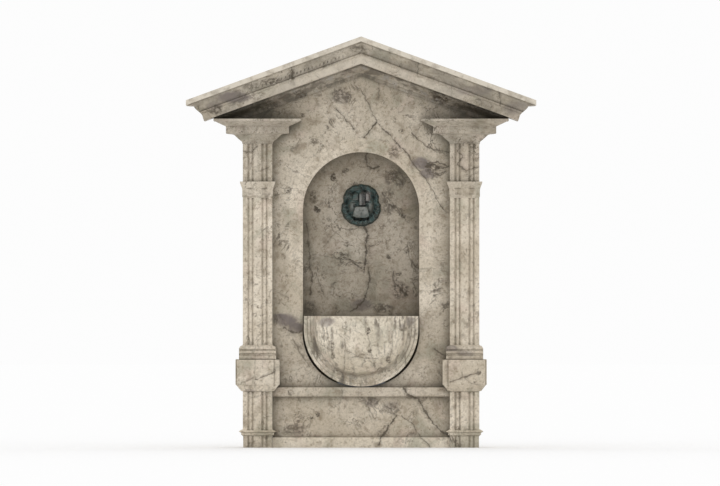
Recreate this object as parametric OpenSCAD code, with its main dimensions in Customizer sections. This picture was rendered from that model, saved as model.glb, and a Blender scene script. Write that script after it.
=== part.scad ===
// Marble wall font: a gabled aedicule with fluted piers, a round-headed niche, a half-round bowl,
// a bronze lion-mask spout and the supply and waste fittings behind them.
// Origin: middle of the footprint on the floor, +Z up, the front faces -Y.

/* [Overall] */
// Depth from the cornice tip to the back face
overall_depth = 640; // [620:1:680]
// Height of the gable's apex above the floor
apex_z = 2257; // [2250:1:2270]
// Half width at the eaves' tips
eave_x = 960; // [950:1:970]
// Slope of the gable in degrees
gable_angle = 20; // [19.8:0.1:20.2]
// How far the cornice tip stands in front of the wall face
cornice_projection = 340; // [330:1:350]

/* [Piers] */
// Half width over the outer faces of the pier shafts
pier_outer = 650; // [645:1:655]
// Width of a pier shaft
pier_w = 162; // [158:1:166]
// How far the shafts stand in front of the wall face
pier_projection = 70; // [60:1:80]
// Radius of a flute's hollow
flute_r = 22; // [20:0.5:24]
// Depth of a flute
flute_depth = 11.5; // [9:0.5:13]
// Radius of the reed that stands in a flute
reed_r = 12; // [10:0.5:13]
// Distance between a shaft's two flutes
flute_spacing = 77; // [75:1:80]

/* [Pier heights] */
// Top of the foot
foot_top = 110; // [105:1:115]
// Top of the lower shaft
lower_shaft_top = 307; // [300:1:315]
// Top of the pedestal block
pedestal_top = 484; // [478:1:490]
// Top of the base mouldings
base_top = 566; // [560:1:572]
// Top of the main shaft
main_shaft_top = 1378; // [1370:1:1385]
// Top of the necking band
necking_top = 1463; // [1455:1:1470]
// Top of the upper shaft
upper_shaft_top = 1671; // [1665:1:1680]
// Top of the capital
capital_top = 1766; // [1760:1:1770]
// Top of the impost cornice
impost_top = 1807; // [1800:1:1812]

/* [Wall] */
// Thickness of the front slabs
slab_t = 60; // [50:1:70]
// Thickness of the rear slabs and of the slab at the back of the niche
thin_slab_t = 30; // [25:1:35]
// Height of the base course
base_course_top = 56; // [50:1:60]
// Underside of the ledge
ledge_bottom = 281; // [276:1:286]
// Top of the ledge
ledge_top = 331; // [328:1:332]

/* [Niche] */
// Radius of the niche's round head, and half its width
niche_r = 320; // [318:1:322]
// Height at which the round head springs
springing_z = 1305; // [1295:1:1315]
// Depth of the niche behind the wall face
niche_depth = 200; // [195:1:205]
// Width of the flat border round the niche
border_w = 76; // [70:1:80]

/* [Bowl] */
// Outer radius of the bowl
bowl_r = 315; // [313:1:316]
// Height of the axis that the bowl's round lower half is turned about
bowl_axis_z = 650; // [649:1:652]
// Height of the bowl's rim
rim_z = 723; // [715:1:730]
// How far the belly stands in front of the wall face
bowl_projection = 290; // [280:1:300]
// Inner radius of the bowl
bowl_inner_r = 230; // [225:1:232]

/* [Fittings] */
// Height of the lion mask's centre
mask_z = 1333; // [1325:1:1340]
// Radius of the supply riser
riser_r = 7.5; // [7.4:0.1:7.6]
// Height of the supply inlet at the back
inlet_z = 500; // [490:1:510]
// Outer radius of the waste outlet pipe
outlet_r = 20; // [19.8:0.1:20]
// Height of the waste outlet's axis
outlet_z = 226; // [222:1:230]
// Height of the standing waste's top
overflow_z = 690; // [680:1:700]

/* [Hidden] */
$fn = 96;
marble = [0.77, 0.72, 0.65];
border_marble = [0.81, 0.76, 0.69];
bronze = [0.13, 0.17, 0.17];
brass_colour = [0.72, 0.58, 0.3];
copper_colour = [0.72, 0.43, 0.3];
steel_colour = [0.6, 0.6, 0.6];
chrome_colour = [0.75, 0.75, 0.76];
lead_colour = [0.35, 0.36, 0.38];
rubber_colour = [0.08, 0.08, 0.08];
plastic_colour = [0.88, 0.88, 0.86];
eps = 0.01;
far = 1500;

back_y = overall_depth / 2;
wall_y = cornice_projection - overall_depth / 2;
pier_inner = pier_outer - pier_w;
pier_mid = pier_outer - pier_w / 2;
pier_face = wall_y - pier_projection;
slab_back = wall_y + slab_t;
rear_face = back_y - thin_slab_t;
niche_y = wall_y + niche_depth;
cavity_y = niche_y + thin_slab_t;
border_r = niche_r + border_w;
impost_projection = 160;
ledge_projection = 42;
gable_slope = tan(gable_angle);
cornice_t = 148;
bed_mould_t = 66;
// Joints between the cornice stones: one on the left rake, two on the right
rake_joints = [380, 313, 759];
waste_y = wall_y + 80;
riser_y = (cavity_y + rear_face) / 2;
dowel_y = wall_y + 150;
rear_joints = [760, 1480];
service_hatch = [[-150, 110], [150, 700]];
bowl_back = niche_depth - 5;
bowl_floor_z = bowl_axis_z - bowl_inner_r;
seat_z = bowl_axis_z - bowl_r + 6;
mask_r = 110;
mask_depth = 78;
spout_z = mask_z - 75;
spout_r = 6;
valve_z = inlet_z + 55;
bend_r = 13;
waste_bottom = 262;
waste_r = 23.9;
waste_inner_r = 20.6;
tie_x = 420;
lower_tie_z = 300;
upper_tie_z = 1620;
tie_hole_r = 7;
dowel_r = 6;
dowel_half = 30;
pier_joints = [foot_top, lower_shaft_top, pedestal_top, base_top, main_shaft_top, necking_top,
               upper_shaft_top, capital_top];

// Height of the gable's top line at a distance from the middle
function gable_z(x, below = 0) = apex_z - below - abs(x) * gable_slope;

// Points of an arc about a centre, from one angle to another
function arc(centre, radius, from, to, steps = 6) =
    [for (i = [0:steps]) let (a = from + (to - from) * i / steps)
        centre + radius * [cos(a), sin(a)]];

// Points of an S-shaped curve between two points, level at both ends
function s_curve(from, to, steps = 8) =
    [for (i = [0:steps]) let (s = i / steps)
        [from[0] + (to[0] - from[0]) * (1 - cos(180 * s)) / 2, from[1] + (to[1] - from[1]) * s]];

function reversed(list) = [for (i = [len(list) - 1:-1:0]) list[i]];

// A front view outline, as [x, z] points, carried from one depth to another
module elevation(points, from_y, to_y) {
    translate([0, to_y, 0]) rotate([90, 0, 0]) linear_extrude(to_y - from_y) polygon(points);
}

// A side view outline, as [y, z] points, carried from one width to another
module section(points, from_x, to_x) {
    translate([from_x, 0, 0]) rotate([90, 0, 90]) linear_extrude(to_x - from_x) polygon(points);
}

module block(from, to) {
    translate(from) cube(to - from);
}

// A rod or hole along Y
module along_y(radius, from_y, to_y) {
    translate([0, to_y, 0]) rotate([90, 0, 0]) cylinder(h = to_y - from_y, r = radius);
}

module mirrored(side) {
    mirror([side < 0 ? 1 : 0, 0, 0]) children();
}

// --- Piers -------------------------------------------------------------------------------------

// A pier stone: [projection, height] points carried round its outer side, front and inner side
module pier_stone(profile) {
    last = len(profile) - 1;
    outer = [for (p = profile) [pier_outer + p[0], p[1]]];
    inner = [for (p = reversed(profile)) [pier_inner - p[0], p[1]]];
    front = [for (p = profile) [pier_face - p[0], p[1]]];
    rear = [[back_y, profile[last][1]], [back_y, profile[0][1]]];
    difference() {
        intersection() {
            elevation(concat(outer, inner), -far, back_y);
            section(concat(front, rear), 0, far);
        }
        block([0, wall_y, -1], [pier_inner, far, far * 2]);
        dowel_rods();
    }
}

// The two flutes of a pier between two heights, each with a reed standing in it unless it is plain
module flutes(from_z, to_z, face = pier_face, plain = false) {
    for (side = [-1, 1])
        translate([pier_mid + side * flute_spacing / 2, face, from_z]) difference() {
            translate([0, flute_depth - flute_r, 0]) cylinder(h = to_z - from_z, r = flute_r);
            if (!plain) translate([0, reed_r + 3, -1]) cylinder(h = to_z - from_z + 2, r = reed_r);
        }
}

// The rods across the joints between the pier stones
module dowel_rods() {
    for (z = pier_joints)
        translate([pier_mid, dowel_y, z - dowel_half]) cylinder(h = dowel_half * 2, r = dowel_r);
}

module shaft(from_z, to_z, flutes_end) {
    color(marble) difference() {
        pier_stone([[0, from_z], [0, to_z]]);
        flutes(from_z - 1, flutes_end);
    }
}

module lower_shaft() {
    shaft(foot_top, lower_shaft_top, lower_shaft_top + 1);
}

module main_shaft() {
    shaft(base_top, main_shaft_top, main_shaft_top - 6);
}

module upper_shaft() {
    shaft(necking_top, upper_shaft_top, upper_shaft_top + 1);
}

module pier_foot() {
    color(marble) difference() {
        pier_stone([
            [-2, 0], [-2, 61], [3, 68], [9, 71], [9, 82], [22, 88], [10, 95], [0, 100], [0, foot_top]
        ]);
        flutes(-1, 66);
        flutes(96, foot_top + 1);
    }
}

// The block's front stands forward between two set-back strips, and is notched over the ledge's end
module pedestal_block() {
    z = lower_shaft_top;
    set_back = pier_face - 28;
    color(marble) difference() {
        pier_stone([[0, z], [0, z + 3], [10, z + 5], [36, z + 38], [40, z + 40], [40, pedestal_top]]);
        block([pier_outer + 32, -far, 0], [far, set_back, far]);
        block([0, -far, 0], [pier_inner - 8, set_back, far]);
        block([0, wall_y - ledge_projection, 0], [pier_inner, wall_y + 1, ledge_top]);
    }
}

// The base is moulded across its front only; its sides are plain behind the mouldings' ends
module pier_base() {
    z = pedestal_top;
    color(marble) {
        pier_stone([
            [18, z], [21, z + 3], [21, z + 21], [14, z + 25], [14, z + 31], [19, z + 34], [21, z + 40],
            [18, z + 47], [12, z + 50], [12, z + 55], [17, z + 58], [19, z + 65], [15, z + 73], [1, z + 77],
            [0, base_top]
        ]);
        intersection() {
            pier_stone([[21, z], [21, z + 62], [0, base_top]]);
            block([0, pier_face - 8, z], [far, far, base_top]);
        }
    }
}

module necking_band() {
    z = main_shaft_top;
    color(marble) difference() {
        pier_stone([[3, z], [3, z + 40], [6, z + 52], [14, z + 72], [16, z + 80], [16, necking_top]]);
        flutes(z + 14, z + 50, pier_face - 8, plain = true);
    }
}

module capital() {
    z = upper_shaft_top;
    color(marble) pier_stone([
        [3, z], [4, z + 10], [24, z + 26], [50, z + 50], [62, z + 53], [92, z + 56], [92, capital_top]
    ]);
}

module impost_cornice() {
    tip = impost_projection;
    color(marble) pier_stone([
        [92, capital_top], [tip - 10, impost_top - 14], [tip - 6, impost_top - 12], [tip, impost_top - 12],
        [tip, impost_top]
    ]);
}

// --- Gable -------------------------------------------------------------------------------------

// The whole gable cornice seen from the front, eave mouldings included
function cornice_outline() = concat(
    [[0, apex_z], [eave_x, gable_z(eave_x)], [eave_x, gable_z(eave_x) - 28]],
    s_curve([eave_x - 43, gable_z(eave_x) - 30], [eave_x - 91, gable_z(eave_x) - 91]),
    [[eave_x - 98, gable_z(eave_x - 98, cornice_t)], [0, gable_z(0, cornice_t)]]
);

// A side view outline, as [projection, depth below the top line] points, carried down one rake
module raking_bar(profile) {
    points = [for (p = profile) [wall_y - p[0], -p[1] * cos(gable_angle)]];
    intersection() {
        translate([0, 0, apex_z]) rotate([0, gable_angle, 0]) section(points, -200, far);
        block([0, -far, 0], [far, far, far * 2]);
    }
}

// A length of the raking cornice, between two distances from the middle
module cornice_length(from_x, to_x) {
    color(marble) intersection() {
        elevation(cornice_outline(), -far, back_y);
        raking_bar(concat(
            [[wall_y - back_y, 0], [cornice_projection, 0], [cornice_projection, 27]],
            s_curve([cornice_projection - 43, 29], [cornice_projection - 91, 88]),
            [[cornice_projection - 85, 91], [cornice_projection - 85, 100]],
            [[cornice_projection - 94, 104], [cornice_projection - 98, 140]],
            [[cornice_projection - 98, cornice_t], [wall_y - back_y, cornice_t]]
        ));
        block([from_x, -far, 0], [to_x, far, far * 2]);
    }
}

module left_raking_cornice() {
    mirrored(-1) cornice_length(rake_joints[0], far);
}

module apex_stone() {
    mirrored(-1) cornice_length(0, rake_joints[0]);
    cornice_length(0, rake_joints[1]);
}

module right_raking_cornice() {
    cornice_length(rake_joints[1], rake_joints[2]);
}

module right_eave_stone() {
    cornice_length(rake_joints[2], far);
}

module bed_mould() {
    t = cornice_t;
    color(marble) difference() {
        raking_bar(concat(
            [[0, t], [72, t], [72, t + 9]],
            s_curve([66, t + 9], [24, t + 48]),
            [[18, t + 48], [18, t + bed_mould_t], [0, t + bed_mould_t]]
        ));
        block([0, -far, 0], [far, far, impost_top]);
        block([pier_outer + impost_projection, -far, 0], [far, far, far * 2]);
    }
}

module gable_shoulder() {
    x = pier_outer + impost_projection - 20;
    color(marble) elevation([
        [pier_inner, impost_top], [x, impost_top],
        [x, gable_z(x, cornice_t)], [pier_inner, gable_z(pier_inner, cornice_t)]
    ], wall_y, back_y);
}

// --- Wall and niche ----------------------------------------------------------------------------

// The slab between the piers that fills the gable from a height up to the cornice's underside
module gable_slab(from_z, from_y, to_y) {
    top = gable_z(pier_inner, cornice_t);
    elevation([
        [-pier_inner, from_z], [pier_inner, from_z], [pier_inner, top],
        [0, gable_z(0, cornice_t)], [-pier_inner, top]
    ], from_y, to_y);
}

// A round-headed opening of a given half width, from a height upwards
module arched_opening(radius, from_z, from_y, to_y) {
    block([-radius, from_y, from_z], [radius, to_y, springing_z]);
    translate([0, 0, springing_z]) along_y(radius, from_y, to_y);
}

// The hole round the bowl's lower half, close to it at its sides and bottom and clear of its haunches
module bowl_hole(from_y, to_y) {
    half = [for (a = [0:3:87]) (bowl_r + 6 + 7 * sin(2.5 * min(a, 72))) * [cos(a), -sin(a)]];
    outline = concat([[-bowl_r, 5], [bowl_r, 5]], half, [for (p = reversed(half)) [-p[0], p[1]]]);
    translate([0, 0, bowl_axis_z]) elevation(outline, from_y, to_y);
}

module wall_slab() {
    color(marble) difference() {
        gable_slab(ledge_top, wall_y, slab_back);
        arched_opening(border_r, bowl_axis_z, wall_y - 1, slab_back + 1);
        bowl_hole(wall_y - 1, slab_back + 1);
        waste_chase();
    }
}

module niche_arch() {
    color(border_marble) difference() {
        translate([0, 0, springing_z]) along_y(border_r, wall_y, niche_y);
        arched_opening(niche_r, springing_z - 1, wall_y - 1, niche_y + 1);
        block([-far, -far, 0], [far, far, springing_z]);
    }
}

module niche_jamb() {
    color(border_marble) block([niche_r, wall_y, bowl_axis_z], [border_r, niche_y, springing_z]);
}

module niche_back() {
    color(marble) difference() {
        block([-border_r, niche_y, bowl_axis_z], [border_r, cavity_y, springing_z + border_r]);
        translate([0, 0, spout_z]) along_y(spout_r + 0.5, niche_y - 1, cavity_y + 1);
        mask_stud_rods();
    }
}

module base_course() {
    color(marble) block([-pier_inner, wall_y - 30, 0], [pier_inner, slab_back, base_course_top]);
}

// Room cut in the backs of the wall slab, the ledge and the dado for the waste and its trap
module waste_chase() {
    block([-50, waste_y - 48, 140], [50, slab_back + 1, seat_z]);
}

module dado_panel() {
    color(marble) difference() {
        block([-pier_inner, wall_y, base_course_top], [pier_inner, slab_back, ledge_bottom]);
        waste_chase();
    }
}

module ledge() {
    front = wall_y - ledge_projection;
    color(marble) difference() {
        section([
            [slab_back, ledge_bottom], [front + 5, ledge_bottom], [front, ledge_bottom + 5],
            [front, ledge_top], [slab_back, ledge_top]
        ], -pier_inner, pier_inner);
        waste_chase();
    }
}

// Holes for the bolts that tie the rear slabs back to the building
module tie_holes() {
    for (x = [-tie_x, tie_x], z = [lower_tie_z, upper_tie_z])
        translate([x, 0, z]) along_y(tie_hole_r, rear_face - 1, back_y + 1);
}

module lower_rear_slab() {
    color(marble) difference() {
        block([-pier_inner, rear_face, 0], [pier_inner, back_y, rear_joints[0]]);
        block([service_hatch[0][0], rear_face - 1, service_hatch[0][1]],
              [service_hatch[1][0], back_y + 1, service_hatch[1][1]]);
        tie_holes();
    }
}

module middle_rear_slab() {
    color(marble) block([-pier_inner, rear_face, rear_joints[0]], [pier_inner, back_y, rear_joints[1]]);
}

module upper_rear_slab() {
    color(marble) difference() {
        gable_slab(rear_joints[1], rear_face, back_y);
        tie_holes();
    }
}

// --- Bowl --------------------------------------------------------------------------------------

// Half plans of the bowl, as [distance from the axis, distance in front of the wall] points
function bowl_outer_plan() = concat(
    [[0, -bowl_back], [bowl_r, -bowl_back]],
    arc([bowl_r - 7, 37], 7, 0, 90),
    [[bowl_r - 17, 44], [bowl_r - 21, 51], [bowl_r - 35, 51], [bowl_r - 39, 58], [bowl_r - 55, 58]],
    [for (a = [0:6:90]) [(bowl_r - 58) * cos(a), 59 + (bowl_projection - 59) * sin(a)]]
);
function bowl_inner_plan() = concat(
    [[0, -bowl_back + 42]],
    arc([bowl_inner_r - 45, -bowl_back + 87], 45, -90, 0),
    [for (a = [0:6:90]) [bowl_inner_r * cos(a), 48 + (bowl_projection - 88) * sin(a)]]
);

// A half-round trough: a half plan turned about the bowl's axis below it, and carried up above it
module trough(plan, top_z) {
    translate([0, wall_y, bowl_axis_z]) {
        intersection() {
            rotate([90, 0, 0]) rotate_extrude() polygon(plan);
            block([-far, -far, -far], [far, far, 0]);
        }
        for (side = [-1, 1])
            mirrored(side) translate([0, 0, -eps]) linear_extrude(top_z - bowl_axis_z + eps)
                polygon([for (p = plan) [p[0], -p[1]]]);
    }
}

module bowl() {
    color(marble) difference() {
        trough(bowl_outer_plan(), rim_z);
        trough(bowl_inner_plan(), rim_z + 1);
        translate([0, waste_y, 0]) {
            cylinder(h = rim_z, r = 25);
            translate([0, 0, bowl_floor_z - 6]) cylinder(h = 40, r = 39);
            cylinder(h = seat_z, r = 46);
        }
    }
}

module bowl_bearers() {
    color(marble) difference() {
        for (side = [-1, 1])
            mirrored(side)
                block([90, wall_y + 130, 0], [250, cavity_y, bowl_axis_z]);
        translate([0, 0, bowl_axis_z]) along_y(bowl_r, 0, niche_y);
    }
}

// Lead packed between the bowl, the ledge and the edge of the wall's hole
module bowl_bedding() {
    color(lead_colour) difference() {
        intersection() {
            bowl_hole(wall_y - 20, wall_y + 30);
            block([-130, -far, ledge_top], [130, far, bowl_floor_z]);
        }
        translate([0, 0, bowl_axis_z]) along_y(bowl_r, -far, far, $fn = 720);
    }
}

// --- Lion mask and supply ----------------------------------------------------------------------

// Studs that hold the mask to the niche's back
module mask_stud_rods() {
    for (side = [-1, 1])
        translate([side * 70, 0, mask_z]) along_y(4, niche_y - 10, cavity_y + 4);
}

module mask_studs() {
    color(steel_colour) mask_stud_rods();
}

module lion_mask() {
    mouth = spout_z - mask_z;
    color(bronze) translate([0, 0, mask_z]) difference() {
        union() {
            along_y(mask_r, niche_y - 26, niche_y);
            translate([0, 0, -39]) along_y(80, niche_y - 30, niche_y);
            translate([0, 0, 10]) along_y(60, niche_y - 50, niche_y);
            elevation([[-22, 28], [22, 28], [46, -60], [-46, -60]], niche_y - mask_depth, niche_y - 20);
        }
        block([-23, -far, mouth - 8], [23, niche_y - 10, mouth + 8]);
        translate([0, 0, mouth]) along_y(spout_r, -far, niche_y + 1);
        translate([0, 0, -mask_z]) mask_stud_rods();
    }
}

module spout_tube() {
    color(brass_colour) translate([0, 0, spout_z]) difference() {
        along_y(spout_r, niche_y - 40, riser_y - bend_r);
        along_y(spout_r - 1, niche_y - 41, riser_y - bend_r + 1);
    }
}

module spout_backnut() {
    color(brass_colour) translate([0, 0, spout_z]) difference() {
        translate([0, cavity_y + 6, 0]) rotate([90, 0, 0]) cylinder(h = 6, r = 15, $fn = 6);
        along_y(spout_r, cavity_y - 1, cavity_y + 7);
    }
}

// A quarter bend of a hollow rod in the Y-Z plane, from vertical to level and pointing forward
module forward_bend(radius, inner_radius) {
    translate([0, -bend_r, 0]) rotate([90, 0, 90]) rotate_extrude(angle = 90)
        translate([bend_r, 0]) difference() {
            circle(r = radius);
            circle(r = inner_radius);
        }
}

module riser_pipe() {
    wall = 1;
    straight = spout_z - bend_r - valve_z - 22;
    color(copper_colour) translate([0, riser_y, valve_z + 22]) {
        difference() {
            cylinder(h = straight, r = riser_r);
            translate([0, 0, -1]) cylinder(h = straight + 2, r = riser_r - wall);
        }
        translate([0, 0, straight]) forward_bend(riser_r, riser_r - wall);
    }
}

module stop_valve_body() {
    color(brass_colour) translate([0, riser_y, valve_z]) difference() {
        union() {
            translate([0, 0, -22]) cylinder(h = 44, r = 12);
            for (z = [-22, 10]) translate([0, 0, z]) cylinder(h = 12, r = 14.5, $fn = 6);
            along_y(9, 0, 18);
        }
        translate([0, 0, -23]) cylinder(h = 46, r = riser_r - 1);
        along_y(3.05, 8, 30);
    }
}

module stop_valve_gland() {
    color(brass_colour) translate([0, riser_y, valve_z]) difference() {
        along_y(7.5, 18, 23);
        along_y(3.05, 17, 24);
    }
}

module stop_valve_lever() {
    color(steel_colour) translate([0, riser_y, valve_z]) {
        along_y(3, 10, 28);
        along_y(7, 23.3, 29);
        block([-5, 24, 0], [5, 29, 48]);
        translate([0, 0, 48]) along_y(7, 24, 29);
    }
}

module inlet_elbow() {
    color(brass_colour) translate([0, riser_y, inlet_z]) difference() {
        union() {
            cylinder(h = 33, r = 11);
            sphere(r = 11);
            along_y(11, 0, back_y - riser_y);
            along_y(14, back_y - riser_y - 14, back_y - riser_y);
        }
        cylinder(h = 34, r = riser_r - 1);
        along_y(riser_r - 1, 0, back_y - riser_y);
        along_y(riser_r + 0.1, back_y - riser_y - 14, back_y - riser_y + 1);
    }
}

// --- Waste -------------------------------------------------------------------------------------

module waste_body() {
    color(chrome_colour) translate([0, waste_y, 0]) difference() {
        union() {
            translate([0, 0, waste_bottom]) cylinder(h = bowl_floor_z - 4 - waste_bottom, r = waste_r);
            translate([0, 0, bowl_floor_z - 4]) cylinder(h = 5, r = 37);
        }
        translate([0, 0, waste_bottom - 1]) cylinder(h = 300, r = waste_inner_r);
    }
}

module waste_washers() {
    color(rubber_colour) translate([0, waste_y, 0]) {
        ring(bowl_floor_z - 6, bowl_floor_z - 4, 37, waste_r);
        ring(seat_z - 4, seat_z, 38, waste_r);
    }
}

// A flat ring between two heights
module ring(from_z, to_z, radius, inner_radius) {
    translate([0, 0, from_z]) difference() {
        cylinder(h = to_z - from_z, r = radius);
        translate([0, 0, -1]) cylinder(h = to_z - from_z + 2, r = inner_radius);
    }
}

module waste_backnut() {
    color(brass_colour) translate([0, waste_y, seat_z - 14]) difference() {
        cylinder(h = 10, r = 36, $fn = 8);
        translate([0, 0, -1]) cylinder(h = 12, r = waste_r);
    }
}

module standing_waste() {
    bore_r = 15;
    color(chrome_colour) translate([0, waste_y, 0]) difference() {
        union() {
            translate([0, 0, bowl_floor_z - 20]) cylinder(h = overflow_z - bowl_floor_z + 20, r = 17.5);
            translate([0, 0, bowl_floor_z - 16]) cylinder(h = 14, r = waste_inner_r - 0.3);
            translate([0, 0, bowl_floor_z + 1.3]) cylinder(h = 6, r = 25);
            translate([0, 0, overflow_z - 10]) cylinder(h = 10, r = 21);
        }
        translate([0, 0, bowl_floor_z - 21]) cylinder(h = overflow_z - bowl_floor_z + 16, r = bore_r);
        for (a = [0:60:120])
            translate([0, 0, overflow_z - 28]) rotate([0, 0, a]) along_y(5, -30, 30);
    }
}

module trap_nut() {
    color(plastic_colour) translate([0, waste_y, 0]) difference() {
        translate([0, 0, waste_bottom - 4]) cylinder(h = 24, r = 32, $fn = 8);
        translate([0, 0, waste_bottom]) cylinder(h = 40, r = waste_r);
        translate([0, 0, waste_bottom - 5]) cylinder(h = 40, r = waste_inner_r);
    }
}

module trap_bottle() {
    bottle_r = 36;
    bottle_bottom = 150;
    color(plastic_colour) translate([0, waste_y, 0]) difference() {
        union() {
            translate([0, 0, bottle_bottom + 14])
                cylinder(h = waste_bottom - 4 - bottle_bottom - 14, r = bottle_r);
            translate([0, 0, bottle_bottom]) cylinder(h = 14, r = bottle_r + 5);
            translate([0, 0, outlet_z]) along_y(25, 20, bottle_r + 18);
        }
        translate([0, 0, bottle_bottom + 4]) cylinder(h = 100, r = bottle_r - 4);
        translate([0, 0, waste_bottom - 20]) cylinder(h = 40, r = waste_inner_r);
        translate([0, 0, outlet_z]) along_y(outlet_r - 2, 0, bottle_r + 19);
        translate([0, 0, outlet_z]) along_y(outlet_r, bottle_r + 4, bottle_r + 19);
    }
}

module waste_outlet_pipe() {
    socket_depth = 30;
    color(plastic_colour) translate([0, 0, outlet_z]) difference() {
        union() {
            along_y(outlet_r, waste_y + 40, back_y);
            along_y(outlet_r + 4, back_y - socket_depth - 6, back_y);
        }
        along_y(outlet_r - 2, waste_y + 39, back_y + 1);
        along_y(outlet_r + 0.2, back_y - socket_depth, back_y + 1);
    }
}

// --- Fixings -----------------------------------------------------------------------------------

module pier_dowels() {
    color(steel_colour) for (side = [-1, 1]) mirrored(side) dowel_rods();
}

module cavity_ties() {
    color(steel_colour) for (side = [-1, 1], z = [900, 1400, 1780])
        mirrored(side) block([440, slab_back, z], [465, rear_face, z + 5]);
}

mirrored(-1) pier_foot();  // left_pier_foot
pier_foot();  // right_pier_foot
mirrored(-1) lower_shaft();  // left_lower_shaft
lower_shaft();  // right_lower_shaft
mirrored(-1) pedestal_block();  // left_pedestal_block
pedestal_block();  // right_pedestal_block
mirrored(-1) pier_base();  // left_pier_base
pier_base();  // right_pier_base
mirrored(-1) main_shaft();  // left_main_shaft
main_shaft();  // right_main_shaft
mirrored(-1) necking_band();  // left_necking_band
necking_band();  // right_necking_band
mirrored(-1) upper_shaft();  // left_upper_shaft
upper_shaft();  // right_upper_shaft
mirrored(-1) capital();  // left_capital
capital();  // right_capital
mirrored(-1) impost_cornice();  // left_impost_cornice
impost_cornice();  // right_impost_cornice
mirrored(-1) gable_shoulder();  // left_gable_shoulder
gable_shoulder();  // right_gable_shoulder
mirrored(-1) bed_mould();  // left_bed_mould
bed_mould();  // right_bed_mould
left_raking_cornice();
apex_stone();
right_raking_cornice();
right_eave_stone();
base_course();
dado_panel();
ledge();
wall_slab();
niche_arch();
mirrored(-1) niche_jamb();  // left_niche_jamb
niche_jamb();  // right_niche_jamb
niche_back();
lower_rear_slab();
middle_rear_slab();
upper_rear_slab();
bowl();
bowl_bearers();
bowl_bedding();
lion_mask();
mask_studs();
spout_tube();
spout_backnut();
riser_pipe();
stop_valve_body();
stop_valve_gland();
stop_valve_lever();
inlet_elbow();
waste_body();
waste_washers();
waste_backnut();
standing_waste();
trap_nut();
trap_bottle();
waste_outlet_pipe();
pier_dowels();
cavity_ties();
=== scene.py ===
"""Looks of the marble wall font: weathered stones, veined marble, a patinated bronze lion mask and metal
fittings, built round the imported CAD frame."""

import math

import bmesh
import bpy
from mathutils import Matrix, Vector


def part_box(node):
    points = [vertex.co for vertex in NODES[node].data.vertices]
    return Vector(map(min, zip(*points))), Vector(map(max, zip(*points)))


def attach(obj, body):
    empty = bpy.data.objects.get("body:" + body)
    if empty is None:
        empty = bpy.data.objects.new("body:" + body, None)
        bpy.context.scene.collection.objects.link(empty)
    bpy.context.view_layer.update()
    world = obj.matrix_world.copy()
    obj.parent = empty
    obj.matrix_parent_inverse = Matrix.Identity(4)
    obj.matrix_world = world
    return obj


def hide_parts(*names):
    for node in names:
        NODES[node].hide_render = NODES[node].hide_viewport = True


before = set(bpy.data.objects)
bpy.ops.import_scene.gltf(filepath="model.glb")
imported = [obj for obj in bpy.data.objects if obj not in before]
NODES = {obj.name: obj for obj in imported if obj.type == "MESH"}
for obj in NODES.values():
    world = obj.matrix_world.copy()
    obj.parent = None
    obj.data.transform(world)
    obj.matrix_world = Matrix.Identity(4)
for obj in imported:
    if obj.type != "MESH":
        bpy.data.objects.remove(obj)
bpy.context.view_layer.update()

SURROUND = "surround"


def srgb(red, green, blue):
    """Linear colour of a screen colour given from 0 to 255."""
    return tuple((c / 255) ** 2.2 for c in (red, green, blue)) + (1.0,)


# --- Node graphs --------------------------------------------------------------------------------


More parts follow.
